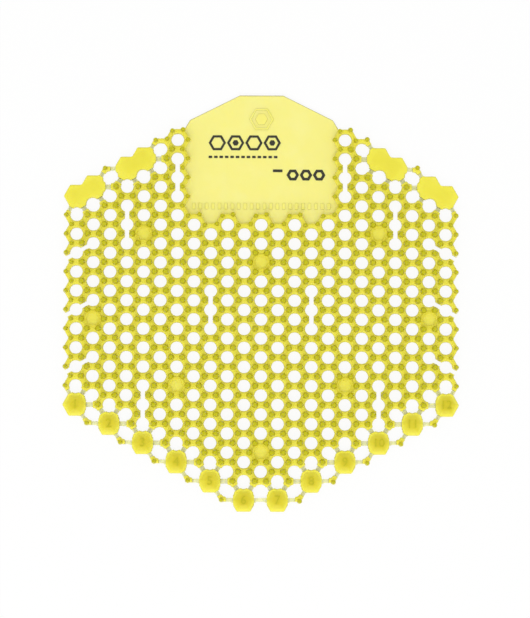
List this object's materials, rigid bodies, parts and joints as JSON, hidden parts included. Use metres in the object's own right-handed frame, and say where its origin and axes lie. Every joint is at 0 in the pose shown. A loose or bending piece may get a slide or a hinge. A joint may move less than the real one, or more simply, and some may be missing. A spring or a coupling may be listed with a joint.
{
  "type": "urinal deodorizer screen",
  "caption": "Flexible honeycomb splash screen that lies in a urinal bowl over its drain and scents it, with anti-splash pegs, a plain top tab and tear-off edge pads.",
  "frame": {"origin": "under the middle of the sheet, on the flat face that it rests on", "axes": "+X across the sheet, +Y up the sheet towards the tab, +Z out of the splash face with its pegs"},
  "size_m": [0.1886, 0.1988, 0.0062],
  "materials": {
    "scented_rubber": "satin translucent yellow ethylene-vinyl acetate, as moulded"
  },
  "bodies": {
    "root": {"deodorizer_screen": "scented_rubber"}
  },
  "joints": []
}
